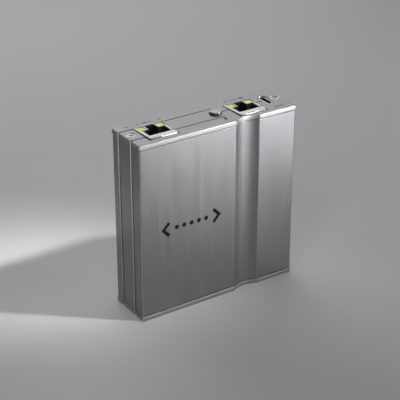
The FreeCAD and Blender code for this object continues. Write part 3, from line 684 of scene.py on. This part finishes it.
# %% [markdown]
# Contacts
#
# Eight gold-flashed spring wires rise from the floor of the cavity and lean against the comb. Wire is
# what curves are for: one spline each, smooth, with a round section.

# %% Bend the contacts
WIRE_RADIUS = 0.19 * MM
WIRE_LINE = [(-0.35, 1.6), (-0.1, 2.6), (0.35, 5.0), (0.95, 9.0), (1.35, 12.45)]


def bend_contacts(side):
    shell_low, shell_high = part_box(f"{side}_jack_shell")
    sill = shell_low.y + MOUTH_SILL
    face = shell_high.z
    line = bpy.data.curves.new(f"{side}_contacts", "CURVE")
    line.dimensions = "3D"
    line.bevel_depth = WIRE_RADIUS
    line.bevel_resolution = 3
    line.resolution_u = 8
    line.use_fill_caps = True
    for x in pin_places(side):
        spline = line.splines.new("NURBS")
        spline.points.add(len(WIRE_LINE) - 1)
        for point, (y, drop) in zip(spline.points, WIRE_LINE):
            point.co = (x, sill + y * MM, face - drop * MM, 1)
        spline.order_u = 3
        spline.use_endpoint_u = True
    line.materials.append(gold)
    piece = bpy.data.objects.new(f"{side}_contact_wires", line)
    bpy.context.scene.collection.objects.link(piece)
    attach(piece, HOUSING)
    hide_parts(f"{side}_jack_contacts")
    print(piece.name, "has", len(line.splines), "wires")


for side in SIDES:
    bend_contacts(side)

# %% [markdown]
# Light pipes
#
# Each lamp is a clear moulding that fills a corner of the face beside the latch. A block with softly
# rounded edges is enough, because the glow of its finish does the rest.

# %% Mould the light pipes
LAMP_EDGE = 0.25 * MM


def mould_lamps(side):
    meshes = [block(low, high, LAMP_EDGE, 3) for low, high in lamp_boxes(side)]
    mesh = joined(meshes)
    smooth(mesh)
    piece = to_piece(f"{side}_light_pipes", mesh, lamp_glow)
    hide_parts(f"{side}_jack_lamps")
    print(piece.name, "ready")


for side in SIDES:
    mould_lamps(side)

# %% [markdown]
# Screws
#
# The plates are held by countersunk cross-head screws. A turned blank gives the cone and the shank, and
# two crossed bars cut the recess. The bars narrow towards the bottom like the point of a real driver.

# %% Form the screws
SCREW_HEAD = 2.3 * MM
SCREW_SHANK = 1.25 * MM
SCREW_LONG = 8.0 * MM
RECESS_DEEP = 1.0 * MM
RECESS_REACH = 1.3 * MM
RECESS_HALF = 0.3 * MM


def driver_bar(centre, top, turn):
    """One bar of the driver's point: a block that narrows downwards."""
    work = bmesh.new()
    bmesh.ops.create_cube(work, size=2)
    for vertex in work.verts:
        narrowing = 1.0 if vertex.co.z > 0 else 0.45
        x = vertex.co.x * RECESS_REACH * narrowing
        y = vertex.co.y * RECESS_HALF * (0.7 + 0.3 * narrowing)
        z = top + 0.2 * MM if vertex.co.z > 0 else top - RECESS_DEEP
        vertex.co = Vector((centre.x, centre.y, 0)) + Matrix.Rotation(turn, 3, "Z") @ Vector((x, y, z))
    return from_bmesh(work, "bar")


def form_screw(centre, face, turn):
    """A screw whose head is level with face and whose shank points down."""
    radius, shank = SCREW_HEAD, SCREW_SHANK
    neck = face - (radius - shank)
    blank = turned([
        (0, face - SCREW_LONG),
        (shank - 0.3 * MM, face - SCREW_LONG),
        (shank, face - SCREW_LONG + 0.3 * MM),
        (shank, neck),
        (radius - 0.04 * MM, face - 0.1 * MM),
        (radius - 0.04 * MM, face - 0.04 * MM),
        (radius - 0.12 * MM, face),
        (0, face + 0.02 * MM),
    ], centre)
    bars = [driver_bar(centre, face, turn + number * math.pi / 2) for number in range(2)]
    return carved(blank, bars, 0.03 * MM)


def screw_pair(node, upward, turns):
    """Both screws of a plate. They are formed head up, and turned over for the lower plate."""
    low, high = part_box(node)
    middle = (low + high) / 2
    centres = [Vector((low.x + SCREW_HEAD, middle.y, 0)), Vector((high.x - SCREW_HEAD, middle.y, 0))]
    meshes = [form_screw(centre, high.z, turn) for centre, turn in zip(centres, turns)]
    mesh = joined(meshes)
    if not upward:
        flip = Matrix.Translation((0, 0, low.z + high.z)) @ Matrix.Scale(-1, 4, (0, 0, 1))
        mesh.transform(flip)
        mesh.flip_normals()
    smooth(mesh, 30)
    piece = to_piece(f"{node}_formed", mesh, screw_steel)
    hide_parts(node)
    print(piece.name, "has", len(mesh.polygons), "faces")


screw_pair("port_plate_screws", True, (0.35, 0.9))
screw_pair("blank_plate_screws", False, (0.6, 0.1))

# %% [markdown]
# Printed symbols
#
# The front carries a generic network-port symbol, and the upper plate has small signs beside each socket
# and the button. Pad printing leaves a film of ink a few hundredths of a millimetre thick with soft
# edges. Flat outlines, raised by that thickness, keep the signs crisp from any distance.

# %% Ink
INK_THICK = 0.02 * MM


def ink_finish(name, colour):
    finish, tree, shader = new_finish(name, colour, 0.0, 0.75)
    speckle = grain(tree, (0.15 * MM,) * 3, detail=3)
    lighter = tuple(part * 1.5 for part in colour)
    tree.links.new(tint(tree, spread(tree, speckle, 0, 1), colour, lighter), shader.inputs["Base Color"])
    wear(tree, shader, speckle, 0.68, 0.84)
    shader.inputs["Specular IOR Level"].default_value = 0.02
    return finish


dark_ink = ink_finish("charcoal_ink", (0.007, 0.007, 0.0075))
sign_ink = ink_finish("sign_ink", (0.014, 0.0135, 0.0155))


# %% Lines, dots and bows
def ribbon(points, width):
    """A line of even width through the points, with mitred corners, as a closed outline."""
    left, right = [], []
    for i, point in enumerate(points):
        before = Vector(points[max(i - 1, 0)])
        after = Vector(points[min(i + 1, len(points) - 1)])
        here = Vector(point)
        first = (here - before).normalized() if i > 0 else (after - here).normalized()
        second = (after - here).normalized() if i < len(points) - 1 else first
        mean = (first + second).normalized()
        side = Vector((-mean.y, mean.x)) * (width / 2 / max(mean.dot(first), 0.3))
        left.append(here + side)
        right.append(here - side)
    return left + right[::-1]


def dot(x, y, radius, steps=28):
    """A round spot as a closed outline."""
    turn = 2 * math.pi / steps
    return [Vector((x + radius * math.cos(i * turn), y + radius * math.sin(i * turn))) for i in range(steps)]


def bow(x, y, radius, start, end, width, steps=24):
    """Part of a ring, from one angle to another in degrees."""
    angles = [math.radians(start + (end - start) * i / steps) for i in range(steps + 1)]
    return ribbon([(x + radius * math.cos(a), y + radius * math.sin(a)) for a in angles], width)


# %% Lay the ink on a surface
def print_ink(name, outlines, place, finish):
    """Lays outlines, drawn in millimetres, on a surface; place maps the drawing plane to it."""
    work = bmesh.new()
    for outline in outlines:
        lower = [work.verts.new((p[0] * MM, p[1] * MM, 0)) for p in outline]
        upper = [work.verts.new((p[0] * MM, p[1] * MM, INK_THICK)) for p in outline]
        work.faces.new(lower[::-1])
        work.faces.new(upper)
        for i in range(len(outline)):
            after = (i + 1) % len(outline)
            work.faces.new([lower[i], lower[after], upper[after], upper[i]])
    bmesh.ops.triangulate(work, faces=[face for face in work.faces if len(face.verts) > 4])
    mesh = from_bmesh(work, name)
    mesh.transform(place)
    piece = to_piece(name, mesh, finish)
    print(piece.name, "has", len(outlines), "strokes")


# %% Print the front symbol
def port_symbol(x, y, width, height, dots, stroke):
    """Two arrow heads that point outwards, with a row of dots between them."""
    half, rise = width / 2, height / 2
    lean = rise * 0.95
    left = [(x - half + lean, y + rise), (x - half, y), (x - half + lean, y - rise)]
    right = [(x + half - lean, y + rise), (x + half, y), (x + half - lean, y - rise)]
    outlines = [ribbon(left, stroke), ribbon(right, stroke)]
    pitch = (width - 2 * lean - 2 * stroke) / (dots + 0.2)
    for number in range(dots):
        outlines.append(dot(x + (number - (dots - 1) / 2) * pitch, y, stroke * 0.68))
    return outlines


SYMBOL_WIDTH = 32
SYMBOL_TALL = 7.0
SYMBOL_X = -16.4
SYMBOL_Z = 46.8
SYMBOL_STROKE = 1.7
SYMBOL_DOTS = 5
front_face = Matrix.Translation((0, case_low.y, 0)) @ Matrix.Rotation(math.pi / 2, 4, "X")
front_symbol = port_symbol(SYMBOL_X, SYMBOL_Z, SYMBOL_WIDTH, SYMBOL_TALL, SYMBOL_DOTS, SYMBOL_STROKE)
print_ink("front_port_symbol", front_symbol, front_face, dark_ink)

# %% Print the plate signs
top_face = Matrix.Translation((0, 0, plate_top))
SIGN_TALL = 1.7
SIGN_WIDTH = 6.5
SIGN_STROKE = 0.36
ARROW_LENGTH = 3.2
REAR_ROW = 9.7
POWER_LEFT, POWER_RIGHT = 34.2, 39.6
POWER_LINE, POWER_DASHES = -8.4, -9.3
DASH_LONG, DASH_PITCH = 1.3, 2.05
STANDBY_X = 6.4


def arrow(x, y):
    """A plain arrow to the right."""
    head = ARROW_LENGTH * 0.3
    tail, point = x - ARROW_LENGTH / 2, x + ARROW_LENGTH / 2
    shaft = ribbon([(tail, y), (point, y)], SIGN_STROKE)
    tip = ribbon([(point - head, y + head), (point, y), (point - head, y - head)], SIGN_STROKE)
    return [shaft, tip]


def small_port(x):
    """The port symbol again, small, in the row behind the sockets."""
    return port_symbol(x, REAR_ROW, SIGN_WIDTH, SIGN_TALL, 3, SIGN_STROKE)


def plate_signs():
    """Port signs behind the sockets, direct current by the power socket, standby by the button."""
    left = small_port(-35.5) + arrow(-29.2, REAR_ROW) + small_port(-23.0)
    right = small_port(20.4) + arrow(26.4, REAR_ROW)
    power = [ribbon([(POWER_LEFT, POWER_LINE), (POWER_RIGHT, POWER_LINE)], SIGN_STROKE)]
    for number in range(3):
        x = POWER_LEFT + number * DASH_PITCH
        power.append(ribbon([(x, POWER_DASHES), (x + DASH_LONG, POWER_DASHES)], SIGN_STROKE))
    standby = [
        bow(STANDBY_X, -7.6, 0.75, 125, 415, SIGN_STROKE * 0.9),
        ribbon([(STANDBY_X, -7.5), (STANDBY_X, -6.5)], SIGN_STROKE),
    ]
    return left + right + power + standby


print_ink("plate_signs", plate_signs(), top_face, sign_ink)

# %% [markdown]
# Floor and light
#
# A plain pale floor and soft boxes of light. Metal shows what surrounds it, so the lights are placed for
# their reflections. Two wide boxes behind give the top its sheen. Boxes with grids stand low at the front
# right, where the front mirrors them brightest near its upper edge. They stay below the upper plate, so
# that it doesn't glare when seen from behind. One small spot picks out the plate's front edge, and a box
# at the left draws the bright lines of the slots. Weak fills light the back, the right side and the
# floor, and a weak sky keeps the rest from falling to black.

# %% Floor
FLOOR_HALF = 3


def lay_floor():
    work = bmesh.new()
    bmesh.ops.create_grid(work, x_segments=1, y_segments=1, size=FLOOR_HALF)
    floor = bpy.data.objects.new("floor", from_bmesh(work, "floor"))
    bpy.context.scene.collection.objects.link(floor)
    finish, tree, shader = new_finish("pale_floor", (0.90, 0.90, 0.91), 0.0, 0.7)
    wear(tree, shader, grain(tree, (30 * MM,) * 3), 0.62, 0.78)
    floor.data.materials.append(finish)


lay_floor()
print("floor laid")


# %% Lights
def soft_box(name, place, aim, width, height, watts, beam=180):
    """A flat light aimed at a point; a beam under 180 degrees is one with a grid in front of it."""
    light = bpy.data.lights.new(name, "AREA")
    light.shape = "RECTANGLE"
    light.size = width
    light.size_y = height
    light.energy = watts
    light.spread = math.radians(beam)
    lamp = bpy.data.objects.new(name, light)
    lamp.visible_camera = False
    bpy.context.scene.collection.objects.link(lamp)
    lamp.location = place
    lamp.rotation_euler = (Vector(aim) - Vector(place)).to_track_quat("-Z", "Y").to_euler()


box_middle = (0, 0, 0.055)
upper_half = (0, 0, 0.08)
plate_edge = (0, 0, 0.09)
soft_box("rear_window", (0.30, 0.50, 0.42), box_middle, 0.5, 0.3, 0.82)
soft_box("rear_fill", (0, 0.7, 0.45), box_middle, 0.6, 0.3, 0.55)
soft_box("front_strip", (0.17, -0.32, 0.06), upper_half, 0.16, 0.05, 0.030, beam=32)
soft_box("right_strip", (0.26, -0.26, 0.055), upper_half, 0.12, 0.06, 0.030, beam=32)
soft_box("far_front", (0.3, -0.55, 0.05), upper_half, 0.3, 0.07, 0.022, beam=30)
soft_box("edge_spot", (0.39, -0.36, 0.63), plate_edge, 0.06, 0.06, 0.02, beam=10)
soft_box("left_strip", (-0.5, -0.33, 0.045), box_middle, 0.12, 0.08, 0.05, beam=25)
soft_box("back_fill", (-0.1, 0.6, 0.15), box_middle, 0.4, 0.2, 0.08, beam=60)
soft_box("right_fill", (0.6, 0.1, 0.15), box_middle, 0.3, 0.2, 0.08, beam=60)
soft_box("floor_wash", (-0.3, -0.4, 0.5), (-0.12, -0.14, 0), 0.3, 0.3, 0.08, beam=60)

# %% Sky
world = bpy.data.worlds.new("studio")
world.use_nodes = True
sky = world.node_tree.nodes["Background"]
sky.inputs["Color"].default_value = (0.9, 0.92, 1.0, 1)
sky.inputs["Strength"].default_value = 0.05
bpy.context.scene.world = world
bpy.context.scene.view_settings.view_transform = "Standard"
print("studio ready")
